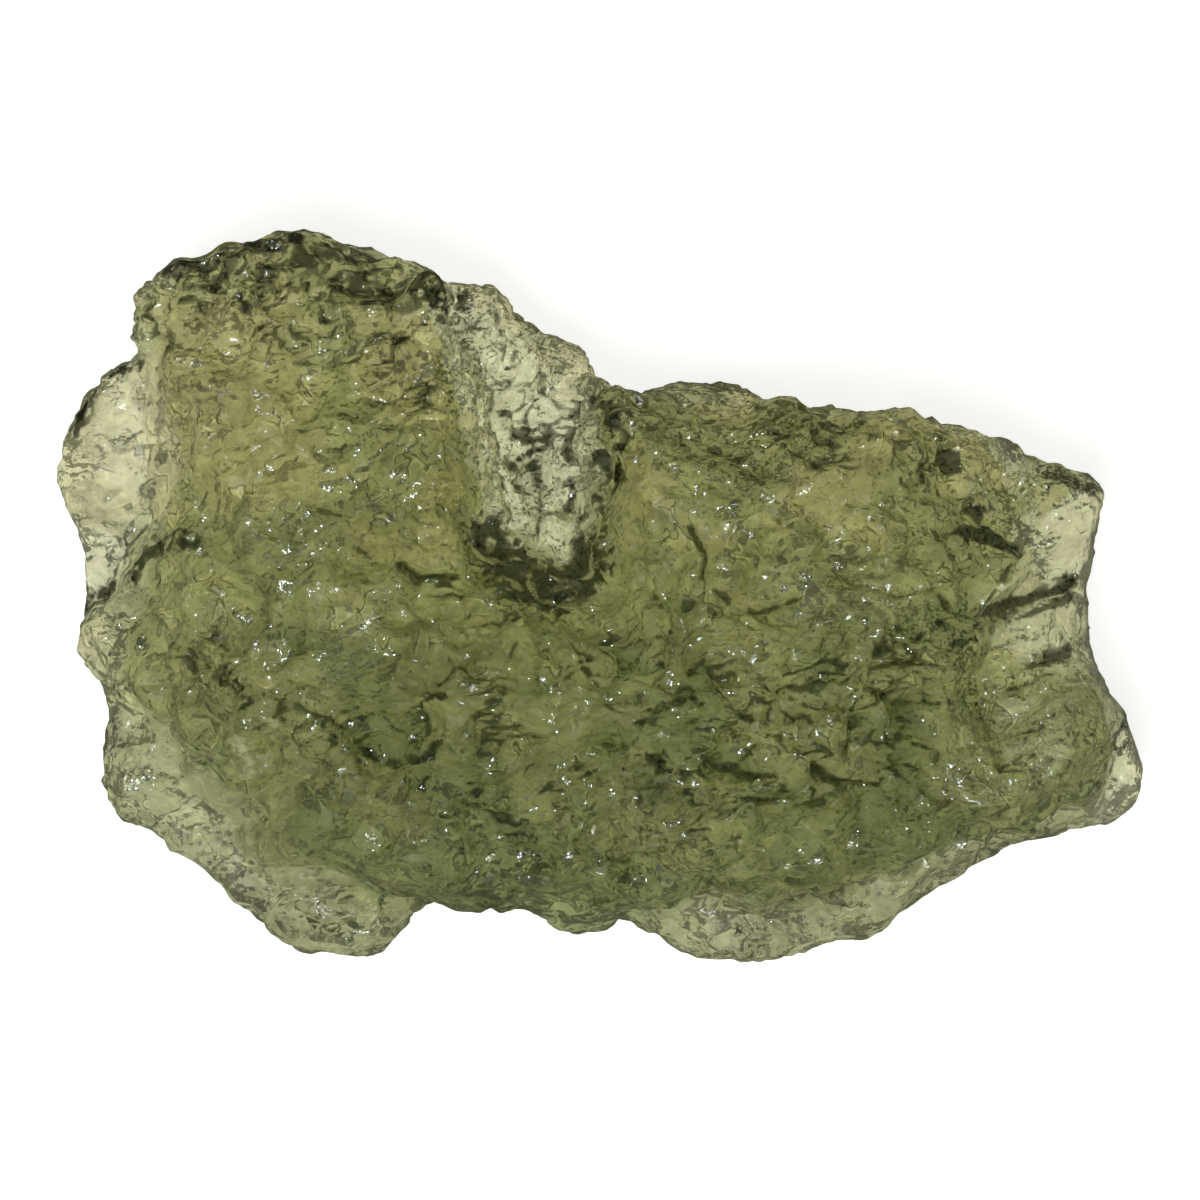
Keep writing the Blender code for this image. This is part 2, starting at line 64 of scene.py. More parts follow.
# Facets with crisp edges: cell size along the flow, across it, height share, hollow or domed, seed
LARGE_FACETS = (1.5, 1.0, 0.55, 1, 61)
SMALL_FACETS = (0.75, 0.5, 0.6, -1, 62)
FACET_BEND = 0.5
FACET_TILT = 0.9
# Strength of the painted light and shade on each facet, as if each facet caught the light its own way
FACET_PAINTED_LIGHT = 0.45

# Tall narrow facets of the notch, in the same order
NOTCH_FACETS = (0.42, 1.3, 0.22, -1, 66)
NOTCH_FINE_FACETS = (0.3, 0.55, 0.35, 1, 67)

# Grooves along the flow lines in the busy bands: length, width, depth, seed
GROOVES = (1.2, 0.36, 0.13, 91)
# Painted shade in the grooves
GROOVE_PAINTED_SHADE = 0.95

# Crumpled creases: size, depth, seed
WIDE_CREASES = (1.1, 0.10, 81)
NARROW_CREASES = (0.55, 0.06, 82)

# Thin clear panes, which are calmer than the thick body, and the calm strip round the waist
PANE_TOP = 4.9
PANE_FADE = 0.6
FLANGE_SHARE = 0.52
LOW_FLANGE_LESS = 0.28
# Painted shade on the thick body, darker towards the bottom of the picture
SOUTH_SHADE = 0.16
WALL_PANE = 0.35
PANE_CALM = 0.38
RIGHT_PANE_CALM = 0.85
RIM_CALM = 0.9
UNDERSIDE_CALM = 0.45
NOTCH_BOOST = 0.35

# Streaks of the right pane
STREAK_TURN = math.radians(22)
STREAK_LENGTH = 2.4
STREAK_WIDTH = 0.2
STREAK_DEPTH = 0.07
WAIST_CALM = 0.65

# Busy bands of small pits on the upper side: picture points, half width in mm
BUSY_BANDS = {
    "middle": ([(470, 560), (560, 640), (680, 700), (780, 690), (940, 650)], 2.4),
    "lower": ([(440, 700), (560, 760), (700, 790), (900, 760)], 2.2),
    "crescent": ([(200, 660), (300, 720), (400, 750), (520, 820)], 1.3),
    "top right": ([(640, 430), (760, 440), (880, 450), (960, 500)], 1.5),
    "top left": ([(150, 320), (230, 300), (330, 320), (420, 380)], 1.6),
    "notch": ([(500, 320), (540, 420), (540, 560)], 1.5),
}
QUIET_SHARE = 0.36

# Painted shade on the steep little walls that face up the picture, and in the narrow creases
PAINTED_SHADE_START = 0.19
PAINTED_SHADE_STEEP = 0.45
CREASE_PAINTED_SHADE = 0.75
PAINTED_SHADE_ON_WALLS = 0.25
SHARP_EDGE = math.radians(13)

# Folds pressed into the upper side, each along its own line: picture points, half width and depth in mm
FOLDS = {
    "crescent lip": ([(365, 742), (385, 757), (410, 760), (432, 752), (441, 735)], 0.20, 0.30),
    "left crescent": ([(190, 652), (203, 664), (220, 661)], 0.14, 0.22),
    "left cup rim": ([(215, 640), (235, 651), (255, 644), (266, 625), (265, 600)], 0.14, 0.18),
    "left fold": ([(405, 568), (425, 580), (462, 576)], 0.16, 0.28),
    "fold above it": ([(362, 552), (385, 566), (402, 562)], 0.14, 0.2),
    "upper left fold": ([(288, 500), (315, 512), (345, 516)], 0.14, 0.18),
    "lower left fold": ([(280, 702), (310, 712), (350, 728)], 0.15, 0.2),
    "right fold": ([(715, 592), (740, 607), (770, 610), (792, 600)], 0.15, 0.22),
    "low right fold": ([(788, 688), (830, 684), (882, 668)], 0.15, 0.2),
    "far right fold": ([(880, 694), (915, 706), (958, 700)], 0.15, 0.22),
    "lower middle fold": ([(700, 757), (735, 770), (772, 776)], 0.16, 0.24),
    "lower right fold": ([(812, 765), (840, 782), (872, 786)], 0.18, 0.3),
    "small right fold": ([(874, 750), (893, 757), (916, 755)], 0.13, 0.18),
    "middle fold": ([(724, 704), (740, 714), (752, 718)], 0.13, 0.16),
    "short fold": ([(650, 676), (664, 690), (678, 700)], 0.13, 0.18),
    "ring, left": ([(640, 560), (645, 590), (658, 606)], 0.15, 0.2),
    "ring, right": ([(690, 530), (702, 558), (698, 588), (680, 602)], 0.15, 0.24),
    "round cup rim": ([(935, 590), (952, 606), (978, 606), (1000, 590), (1010, 565)], 0.15, 0.25),
    "arch": ([(936, 540), (945, 526), (957, 522)], 0.12, 0.15),
    "lens": ([(960, 527), (985, 541), (1018, 548)], 0.18, 0.32),
    "dome arc": ([(282, 330), (288, 350), (305, 365), (330, 368), (350, 355)], 0.15, 0.2),
    "upper ledge": ([(975, 625), (1000, 608), (1020, 598), (1050, 588), (1078, 575)], 0.2, 0.34),
    "ledge below it": ([(1000, 620), (1040, 602), (1065, 600), (1078, 585)], 0.14, 0.24),
    "middle ledge": ([(1020, 667), (1045, 655), (1070, 645)], 0.17, 0.26),
    "low ledge": ([(1015, 725), (1030, 716), (1050, 708)], 0.16, 0.26),
    "lower ledge": ([(1020, 697), (1040, 687)], 0.1, 0.12),
    "fine ledge": ([(1028, 545), (1048, 540), (1070, 535)], 0.08, 0.1),
    "ledge by the body": ([(982, 655), (1006, 643), (1028, 634)], 0.1, 0.18),
    "wavy ledge": ([(1004, 690), (1022, 684), (1036, 676), (1056, 672)], 0.11, 0.2),
    "foot ledge": ([(988, 737), (1012, 728), (1030, 730), (1046, 722)], 0.12, 0.22),
    "last ledge": ([(1000, 765), (1020, 752), (1036, 752)], 0.1, 0.16),
    "notch foot": ([(474, 521), (490, 552), (520, 575), (548, 592), (575, 575)], 0.2, 0.22),
    "notch line, left": ([(500, 300), (505, 350), (495, 410), (502, 470), (515, 520)], 0.1, 0.2),
    "notch line, middle": ([(540, 330), (545, 380), (532, 430), (545, 490), (540, 545)], 0.1, 0.2),
    "notch line, right": ([(572, 400), (566, 450), (572, 510)], 0.14, 0.28),
    "notch wall line": ([(618, 430), (612, 470), (600, 515)], 0.14, 0.28),
    "notch patch": ([(512, 460), (530, 474), (552, 466)], 0.14, 0.16),
}

# Bands of painted shade on the upper side, along its steep edges and walls: picture points, half width in mm,
# strength
SHADE_BANDS = {
    "top edge, left": ([(196, 262), (250, 250), (320, 257), (380, 276), (440, 294)], 1.0, 1.15),
    "top edge, right": ([(640, 400), (700, 396), (780, 406), (860, 420), (925, 440), (985, 462)], 0.7, 0.35),
    "corner chips": ([(960, 470), (1000, 500), (1060, 480), (1090, 480)], 0.6, 0.35),
    "notch end": ([(484, 538), (510, 568), (548, 588), (578, 582), (592, 556)], 0.55, 2.4),
    "notch right wall": ([(600, 440), (602, 480), (592, 530)], 0.55, 0.8),
    "cleft": ([(600, 402), (612, 420), (640, 412)], 0.35, 1.0),
    "left wall of the body": ([(196, 540), (160, 545), (140, 560), (128, 578), (105, 596), (88, 606)], 0.28, 1.2),
    "left flange corner": ([(74, 424), (84, 395), (104, 372), (130, 362)], 0.42, 1.0),
}

# Clear patches, and patches of painted shade, on the upper side: picture points round each, share
CLEAR_PATCHES = {
    "notch floor": ([(418, 292), (462, 290), (505, 325), (560, 378), (592, 398), (600, 430), (584, 500),
                     (566, 556), (525, 562), (492, 535), (474, 480), (462, 420), (446, 350)], 1.0),
    "right pane": ([(1101, 478), (1092, 500), (1090, 540), (1082, 572), (1040, 592), (1000, 610), (974, 626),
                    (979, 603), (1010, 583), (1023, 553), (1043, 517), (1060, 500), (1078, 484)], 0.85),
    "pane below it": ([(1000, 624), (1040, 606), (1076, 596), (1078, 620), (1070, 642), (1040, 656), (1004, 650),
                       (984, 642)], 0.7),
    "lower right pane": ([(1004, 700), (1050, 700), (1076, 690), (1070, 740), (1050, 770), (1010, 762),
                          (985, 720)], 0.3),
    "right rim": ([(1094, 498), (1104, 520), (1096, 590), (1100, 650), (1112, 690), (1096, 694), (1084, 640),
                   (1080, 590), (1086, 540)], 0.95),
    "right lobe": ([(1100, 690), (1120, 692), (1140, 730), (1146, 770), (1140, 802), (1110, 824), (1088, 816),
                    (1104, 790), (1108, 740)], 0.9),
    "pale corner facet": ([(986, 446), (1006, 440), (1032, 460), (1030, 476), (1006, 472)], 0.9),
    "corner triangle": ([(1012, 520), (1042, 503), (1036, 528), (1018, 546)], 0.4),
    # Painted highlights: pale clear patches where two bright glints stand
    "tall glint": ([(237, 738), (246, 741), (257, 760), (255, 770), (243, 757)], 1.0),
    "wide glint": ([(260, 714), (281, 722), (272, 727)], 1.0),
    "left white facet": ([(80, 528), (100, 520), (132, 556), (128, 578), (104, 598), (84, 604)], 0.95),
    "left pale face": ([(105, 385), (140, 375), (146, 430), (150, 480), (120, 500), (95, 470), (92, 430)], 0.75),
    "cleft facet": ([(566, 396), (590, 392), (604, 410), (590, 424)], 0.6),
}
# Patches of painted shade on the dark chips and ledges
SHADE_PATCHES = {
    "square chip": ([(934, 452), (960, 450), (962, 474), (940, 480)], 0.85),
    "small triangle": ([(968, 506), (988, 504), (982, 522)], 0.85),
    "lens": ([(946, 534), (964, 522), (990, 530), (1020, 550), (996, 549), (966, 540)], 0.95),
    "bevel": ([(1032, 458), (1070, 462), (1098, 478), (1096, 496), (1064, 488), (1040, 478)], 0.55),
    "thick ledge": ([(973, 628), (978, 616), (1020, 597), (1052, 586), (1080, 572), (1080, 588), (1048, 600),
                     (1018, 610)], 0.95),
    "second ledge": ([(1002, 624), (1044, 606), (1078, 592), (1074, 600), (1040, 614)], 0.8),
    "third ledge": ([(1020, 668), (1044, 656), (1072, 644), (1072, 656), (1044, 666)], 0.7),
}

RIM_PATCHES = (CLEAR_PATCHES["right rim"][0], CLEAR_PATCHES["right lobe"][0], CLEAR_PATCHES["pane below it"][0])

# Where the thick body runs out to the edge: picture points, half width in mm
BODY_EDGE = ([(372, 880), (430, 890), (500, 896), (560, 915), (612, 905)], 0.9)

# Glass
GLASS_IOR = 1.49
QUIET_ROUGHNESS = 0.15
BUSY_ROUGHNESS = 0.10
PANE_ROUGHNESS = 0.12
CREVICE_ROUGHNESS = 0.10
CLEAR_SHARE = 0.76
PANE_TINT = (0.87, 0.85, 0.63, 1.0)
GREEN_TINT = (0.345, 0.375, 0.185, 1.0)
OLIVE_TINT = (0.62, 0.585, 0.30, 1.0)
# Colour of the painted shade
PAINTED_SHADE_TINT = (0.020, 0.021, 0.011, 1.0)
GLASS_ABSORPTION = (0.52, 0.56, 0.16, 1.0)
GLASS_DENSITY = 200.0

# Olive share in the glass, paler than the green: at the middle line, more for each mm up to here, so the body is
# lighter and more olive towards the top of the picture
WARM_MIDDLE = 0.45
WARM_PER_MM = 0.06
WARM_UP_TO = 4.0

# Noise in the glass, in waves per mm
CREASE_PER_MM = 1.1
SPOTS_PER_MM = 0.9
FRAY_PER_MM = 5.0
GRAIN_PER_MM = 6.0

# Floor, a white board lit from inside
FLOOR_GLOW = 0.93
FLOOR_SEEN_GLOW = 0.79

# Camera
CAMERA_DISTANCE = 0.5
CAMERA_AIM_HEIGHT = 0.0035
SENSOR = 36.0


def to_mm(x, y):
    """A place in the picture as millimetres from the chip's middle."""
    return (x - PICTURE_MIDDLE_X) / PICTURE_PER_MM, (PICTURE_MIDDLE_Y - y) / PICTURE_PER_MM


def read_places(mesh):
    places = np.zeros(len(mesh.vertices) * 3)
    mesh.vertices.foreach_get("co", places)
    return places.reshape(-1, 3)


def read_normals(mesh):
    normals = np.zeros(len(mesh.vertices) * 3)
    mesh.vertices.foreach_get("normal", normals)
    return normals.reshape(-1, 3)


def put_places(mesh, places):
    mesh.vertices.foreach_set("co", places.ravel())
    mesh.update()


def make_real(piece):
    """The piece's modifiers, made into its mesh."""
    shaped = piece.evaluated_get(bpy.context.evaluated_depsgraph_get())
    mesh = bpy.data.meshes.new_from_object(shaped)
    piece.modifiers.clear()
    piece.data = mesh


def chance(cells, seed, channel):
    """A steady random share for each whole-numbered cell."""
    mixed = cells[..., 0] * 73856093 ^ cells[..., 1] * 19349663 ^ cells[..., 2] * 83492791
    mixed = (mixed ^ (seed * 2654435761) ^ (channel * 40503)) & 0xFFFFFFFF
    mixed = (mixed ^ (mixed >> 15)) * 2246822519 & 0xFFFFFFFF
    mixed = (mixed ^ (mixed >> 13)) * 3266489917 & 0xFFFFFFFF
    return ((mixed ^ (mixed >> 16)) & 0xFFFFFF) / 0xFFFFFF


def flow_places(places, along, across):
    """The places in cell units, turned to the flow lines."""
    turned = places.copy()
    turned[:, 0] = (places[:, 0] * math.cos(FLOW_TURN) + places[:, 1] * math.sin(FLOW_TURN)) / along
    turned[:, 1] = (places[:, 1] * math.cos(FLOW_TURN) - places[:, 0] * math.sin(FLOW_TURN)) / across
    turned[:, 2] = places[:, 2] / across
    return turned


def pit_relief(places, pits):
    """Scattered pits with crisp rims, each deepest towards its own side."""
    along, across, depth, share, seed = pits
    spots = flow_places(places, along, across)
    home = np.floor(spots).astype(np.int64)
    relief = np.zeros(len(places))
    for dx in (-1, 0, 1):
        for dy in (-1, 0, 1):
            for dz in (-1, 0, 1):
                cell = home + np.array((dx, dy, dz))
                middle = np.stack([cell[:, axis] + chance(cell, seed, axis) for axis in range(3)], axis=1)
                lean = np.stack([chance(cell, seed, axis + 5) - 0.5 for axis in range(3)], axis=1)
                reach = 0.35 + 0.5 * chance(cell, seed, 11)
                away = (spots - middle) / reach[:, None]
                bowl = np.clip(1 - (away * away).sum(axis=1), 0.0, 1.0)
                bowl *= np.clip(1 + PIT_LEAN * 2 * (away * lean).sum(axis=1), 0.1, 2.0)
                here = (chance(cell, seed, 12) < share) & (bowl > 0)
                deep = depth * reach * (0.6 + 0.8 * chance(cell, seed, 13)) * bowl
                relief = np.where(here, np.minimum(relief, -deep), relief)
    return relief


def streak_places(places):
    """The places in units of the long thin streaks of the right pane."""
    turned = places.copy()
    turned[:, 0] = (places[:, 0] * math.cos(STREAK_TURN) + places[:, 1] * math.sin(STREAK_TURN)) / STREAK_LENGTH
    turned[:, 1] = (places[:, 1] * math.cos(STREAK_TURN) - places[:, 0] * math.sin(STREAK_TURN)) / STREAK_WIDTH
    return turned


def facet_relief(places, facets):
    """Hollow or domed facets that meet in crisp edges, and a random share of painted light and shade for each
    facet, as if each caught the light its own way.
    """
    along, across, height, bend, seed = facets
    spots = flow_places(places, along, across)
    home = np.floor(spots).astype(np.int64)
    lowest = np.full(len(places), 9.0)
    painted_light_and_shade = np.zeros(len(places))
    for dx in (-1, 0, 1):
        for dy in (-1, 0, 1):
            for dz in (-1, 0, 1):
                cell = home + np.array((dx, dy, dz))
                middle = np.stack([cell[:, axis] + chance(cell, seed, axis) for axis in range(3)], axis=1)
                tilt = np.stack([chance(cell, seed, axis + 5) - 0.5 for axis in range(3)], axis=1)
                away = spots - middle
                level = FACET_BEND * (away * away).sum(axis=1) + FACET_TILT * (away * tilt).sum(axis=1)
                lower = level < lowest
                lowest = np.where(lower, level, lowest)
                painted_light_and_shade = np.where(lower, chance(cell, seed, 9) - 0.5, painted_light_and_shade)
    return bend * height * across * (lowest - 0.1), painted_light_and_shade


def smooth_noise(places, seed):
    """Soft noise between -1 and 1."""
    home = np.floor(places).astype(np.int64)
    share = places - home
    share = share * share * (3 - 2 * share)
    total = np.zeros(len(places))
    for dx in (0, 1):
        for dy in (0, 1):
            for dz in (0, 1):
                corner = chance(home + np.array((dx, dy, dz)), seed, 9) * 2 - 1
                weight = np.where(dx, share[:, 0], 1 - share[:, 0])
                weight = weight * np.where(dy, share[:, 1], 1 - share[:, 1])
                weight = weight * np.where(dz, share[:, 2], 1 - share[:, 2])
                total += corner * weight
    return total


def wave_noise(places, seed):
    """Noise with slopes instead of values at the corners, so that it has no flat steps."""
    home = np.floor(places).astype(np.int64)
    share = places - home
    blend = share * share * share * (share * (share * 6 - 15) + 10)
    total = np.zeros(len(places))
    for dx in (0, 1):
        for dy in (0, 1):
            for dz in (0, 1):
                corner = np.array((dx, dy, dz))
                cell = home + corner
                slope = np.stack([chance(cell, seed, axis + 2) * 2 - 1 for axis in range(3)], axis=1)
                weight = np.prod(np.where(corner == 1, blend, 1 - blend), axis=1)
                total += ((share - corner) * slope).sum(axis=1) * weight
    return total


def creases(places, size, seed):
    """Sharp valleys where the noise crosses zero, as in crumpled foil: 0 in the valley, about 1 between."""
    return np.clip(np.abs(wave_noise(flow_places(places, size * 1.5, size), seed)) * 3.0, 0.0, 1.0)


def grooves(places):
    """Short sharp valleys along the flow lines: 1 in the valley, 0 beside it."""
    length, width, depth, seed = GROOVES
    spots = flow_places(places, length, width)
    valley = np.clip(1 - np.abs(wave_noise(spots, seed)) * 5.0, 0.0, 1.0)
    return valley * ease((wave_noise(places / 0.8, seed + 1) + 0.05) / 0.2)


def line_distance(places, points):
    """Distance in mm from each place to a line drawn through picture points."""
    nearest = np.full(len(places), 99.0)
    line = [np.array(to_mm(*point)) for point in points]
    for start, end in zip(line, line[1:]):
        along = end - start
        away = places - start
        share = np.clip(away @ along / (along @ along), 0.0, 1.0)
        nearest = np.minimum(nearest, np.linalg.norm(away - share[:, None] * along, axis=1))
    return nearest


def ease(value):
    share = np.clip(value, 0.0, 1.0)
    return share * share * (3 - 2 * share)


def upper_side(places, normals):
    return ease(normals[:, 2] / 0.2) * ease((places[:, 2] - 1.5) / 0.4)


def wandering(places):
    """The places seen from above, strayed a little, so that drawn lines look broken by hand."""
    stray = np.stack([smooth_noise(places / 0.35, 71), smooth_noise(places / 0.35, 72)], axis=1)
    return places[:, :2] + stray * 0.07


def patch_share(places, points, softness):
    """1 inside the closed line through picture points, 0 outside, soft over a few hundredths of a mm."""
    corners = [np.array(to_mm(*point)) for point in points]
    inside = np.zeros(len(places), dtype=bool)
    for start, end in zip(corners, corners[1:] + corners[:1]):
        spans = (start[1] > places[:, 1]) != (end[1] > places[:, 1])
        rise = np.where(spans, (places[:, 1] - start[1]) / (end[1] - start[1] + 1e-12), 0.0)
        inside ^= spans & (places[:, 0] < start[0] + rise * (end[0] - start[0]))
    gap = line_distance(places, points + points[:1])
    return ease(0.5 + np.where(inside, gap, -gap) / softness)


def height_above(piece, places):
    """Height of the piece's upper side over each place, read from a grid of quarter millimetres."""
    tree = BVHTree.FromObject(piece, bpy.context.evaluated_depsgraph_get())
    step = 0.25
    low = places[:, :2].min(axis=0) - step
    columns, rows = np.ceil((places[:, :2].max(axis=0) - low) / step).astype(int) + 2
    grid = np.zeros((columns, rows))
    for column in range(columns):
        for row in range(rows):
            start = Vector((low[0] + column * step, low[1] + row * step, 30.0))
            hit = tree.ray_cast(start, Vector((0.0, 0.0, -1.0)))[0]
            grid[column, row] = hit.z if hit else 0.0
    spot = (places[:, :2] - low) / step
    corner = np.floor(spot).astype(int)
    share = spot - corner
    left = grid[corner[:, 0], corner[:, 1]] * (1 - share[:, 1]) + grid[corner[:, 0], corner[:, 1] + 1] * share[:, 1]
    right = grid[corner[:, 0] + 1, corner[:, 1]] * (1 - share[:, 1]) + grid[corner[:, 0] + 1, corner[:, 1] + 1] * share[:, 1]
    return left * (1 - share[:, 0]) + right * share[:, 0]


def busy_share(places, normals):
    """1 in the busy bands of small pits, less on the quiet skin between them."""
    busy = 1 - ease(normals[:, 2] / 0.3)
    flat = wandering(places)
    for points, width in BUSY_BANDS.values():
        busy = np.maximum(busy, np.exp(-(line_distance(flat, points) / width) ** 2))
    return QUIET_SHARE + (1 - QUIET_SHARE) * busy


def pane_share(places, tops):
    """1 where the chip is thin and clear, 0 in the thick middle."""
    pane = ease((PANE_TOP - tops) / PANE_FADE) * FLANGE_SHARE
    pane *= 1 - LOW_FLANGE_LESS * ease((-1.0 - places[:, 1]) / 3.0)
    pane *= 1 - np.exp(-(line_distance(places[:, :2], BODY_EDGE[0]) / BODY_EDGE[1]) ** 2)
    flat = wandering(places)
    for points, strength in CLEAR_PATCHES.values():
        pane = np.maximum(pane, patch_share(flat, points, 0.1) * strength)
    return pane


def fold_relief(places, normals):
    flat = wandering(places)
    relief = np.zeros(len(places))
    for points, width, depth in FOLDS.values():
        relief = np.minimum(relief, -depth * np.exp(-line_distance(flat, points) / width))
    return relief * upper_side(places, normals)


def drawn_painted_shade(places, normals, painted_light_and_shade):
    """Painted shade at the feet of the folds, in the bands along the steep edges and walls, and on the dark chips
    and ledges.
    """
    flat = wandering(places)
    painted_shade = np.zeros(len(places))
    broken = 0.35 + 0.65 * ease((wave_noise(places / 0.45, 55) + 0.25) / 0.35)
    mottle = 0.42 + 0.8 * ease((wave_noise(flow_places(places, 0.42, 0.26), 56) + 0.12) / 0.16)
    for points, width, depth in FOLDS.values():
        near = np.exp(-(line_distance(flat, points) / (width * 0.8)) ** 2)
        painted_shade = np.maximum(painted_shade, near * min(depth * 3.4, 0.95) * broken)
    for points, width, strength in SHADE_BANDS.values():
        near = np.exp(-(line_distance(flat, points) / width) ** 2)
        painted_shade = np.maximum(painted_shade, near * strength * (0.75 + 0.9 * painted_light_and_shade) * mottle)
    for points, strength in SHADE_PATCHES.values():
        painted_shade = np.maximum(painted_shade, patch_share(flat, points, 0.08) * strength)
    lying = PAINTED_SHADE_ON_WALLS + (1 - PAINTED_SHADE_ON_WALLS) * ease((normals[:, 2] - 0.1) / 0.4)
    return np.clip(painted_shade, 0.0, 1.0) * upper_side(places, normals) * lying


def wall_painted_shade(places, normals, soft_normals):
    """Painted shade on the steep little walls that face up the picture, and in some of the narrow creases."""
    turn = normals - soft_normals
    facing = turn[:, 1] + 0.25 * turn[:, 0]
    patches = ease((wave_noise(places / 1.7, 53) + 0.25) / 0.5)
    painted_shade = ease((facing - PAINTED_SHADE_START) / PAINTED_SHADE_STEEP) * (0.35 + 0.65 * patches)
    valley = (1 - creases(places, NARROW_CREASES[0], NARROW_CREASES[2])) ** 5
    return np.maximum(painted_shade, valley * CREASE_PAINTED_SHADE * ease((wave_noise(places / 1.3, 54) - 0.02) / 0.25))


def loose_weights(places, normals):
    """How freely the mesh may be thinned: 0 where drawn detail has to stay crisp, 1 on the underside."""
    weights = np.where(normals[:, 2] > 0.0, 0.5, 1.0)
    for corner, opposite in KEPT_BOXES:
        left, top = to_mm(*corner)
        right, bottom = to_mm(*opposite)
        inside = (places[:, 0] > left) & (places[:, 0] < right) & (places[:, 1] > bottom) & (places[:, 1] < top)
        weights[inside & (normals[:, 2] > 0.1)] = 0.0
    return weights


